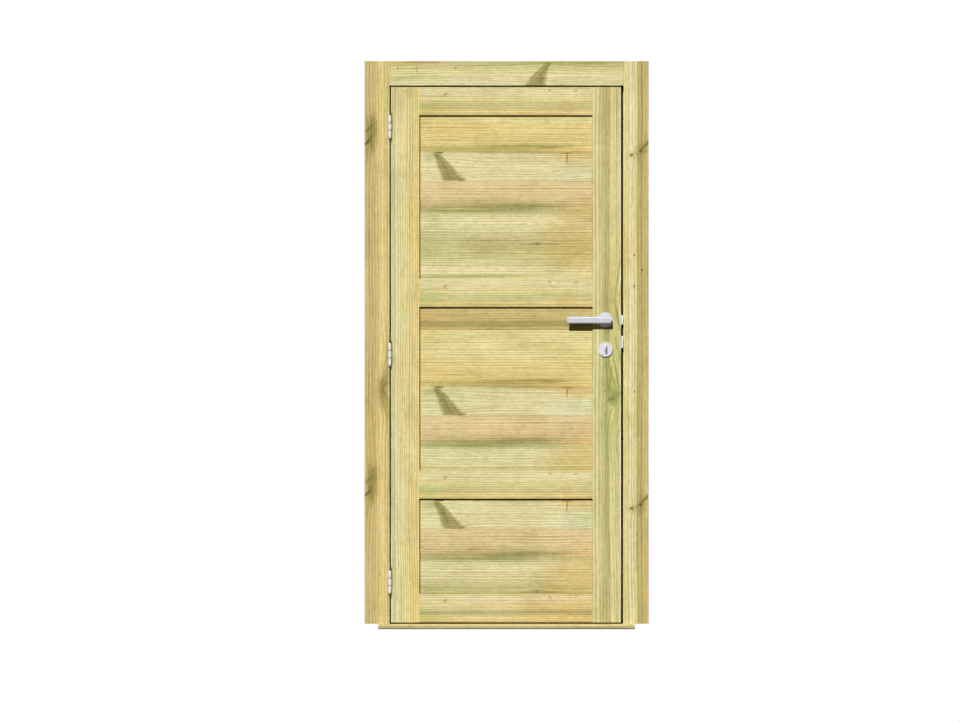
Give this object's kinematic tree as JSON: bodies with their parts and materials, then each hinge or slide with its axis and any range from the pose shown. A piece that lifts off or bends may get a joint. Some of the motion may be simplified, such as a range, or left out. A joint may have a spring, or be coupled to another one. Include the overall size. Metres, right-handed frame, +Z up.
{
  "type": "solid wood door in its frame",
  "caption": "Outward-opening outside door of solid pine with recessed panels, in a rebated frame with sill, butt hinges, lever handle and mortice lock.",
  "frame": {"origin": "on the underside of the sill, at the middle of its length, in the plane where the frame's flange meets the wall", "axes": "+X to the right seen from outside, towards the lock; +Y through the wall into the building; +Z up"},
  "size_m": [1, 0.145, 2],
  "materials": {
    "frame_wood": "planed pine with a greenish preservative treatment, unpainted",
    "leaf_wood": "planed pine with a greenish preservative treatment, unpainted",
    "hinge_steel": "bright zinc-plated steel",
    "lock_steel": "satin steel",
    "handle_chrome": "polished chrome"
  },
  "bodies": {
    "frame": {"jamb_hinge_side": "frame_wood", "jamb_lock_side": "frame_wood", "head": "frame_wood", "sill": "frame_wood", "stop_hinge_side": "frame_wood", "stop_lock_side": "frame_wood", "stop_head": "frame_wood", "stop_sill": "frame_wood", "strike_plate": "lock_steel", "hinge_top_frame_plate": "hinge_steel", "hinge_top_pin": "hinge_steel", "hinge_middle_frame_plate": "hinge_steel", "hinge_middle_pin": "hinge_steel", "hinge_bottom_frame_plate": "hinge_steel", "hinge_bottom_pin": "hinge_steel"},
    "leaf": {"stile_hinge_side": "leaf_wood", "stile_lock_side": "leaf_wood", "rail_top": "leaf_wood", "rail_upper": "leaf_wood", "rail_lower": "leaf_wood", "rail_bottom": "leaf_wood", "panel_top": "leaf_wood", "panel_middle": "leaf_wood", "panel_bottom": "leaf_wood", "hinge_top_leaf_plate": "hinge_steel", "hinge_middle_leaf_plate": "hinge_steel", "hinge_bottom_leaf_plate": "hinge_steel", "lock_case": "lock_steel", "lock_forend": "lock_steel", "cylinder": "lock_steel", "rose_front": "handle_chrome", "rose_back": "handle_chrome", "escutcheon_front": "handle_chrome", "escutcheon_back": "handle_chrome"},
    "lever": {"lever_front": "handle_chrome", "lever_back": "handle_chrome", "spindle": "lock_steel"},
    "key": {"cylinder_plug": "lock_steel", "door_key": "lock_steel"},
    "latch": {"latch_bolt": "lock_steel"},
    "deadbolt": {"dead_bolt": "lock_steel"}
  },
  "joints": [
    {"name": "leaf_swing", "type": "hinge", "parent": "frame", "child": "leaf", "pos_m": [-0.4115, -0.02825, 0.9665], "axis": [0, 0, -1], "range_deg": [0, 170]},
    {"name": "lever_turn", "type": "hinge", "parent": "leaf", "child": "lever", "pos_m": [0.348, 0, 1.089], "axis": [0, -1, 0], "range_deg": [0, 40], "stiffness_Nm_per_rad": 1.5, "springref_deg": -40.11},
    {"name": "latch_slide", "type": "slide", "parent": "leaf", "child": "latch", "axis": [1, 0, 0], "range_m": [-0.007, 0]},
    {"name": "deadbolt_throw", "type": "slide", "parent": "leaf", "child": "deadbolt", "axis": [1, 0, 0], "range_m": [-0.007, 0.013]},
    {"name": "key_turn", "type": "hinge", "parent": "leaf", "child": "key", "pos_m": [0.348, 0, 0.993], "axis": [0, 1, 0], "range_deg": [-127, 236]}
  ],
  "couplings": [
    {"joint": "latch_slide", "follows": "lever_turn", "m_per_rad": -0.01},
    {"joint": "key_turn", "follows": "deadbolt_throw", "rad_per_m": 314}
  ]
}
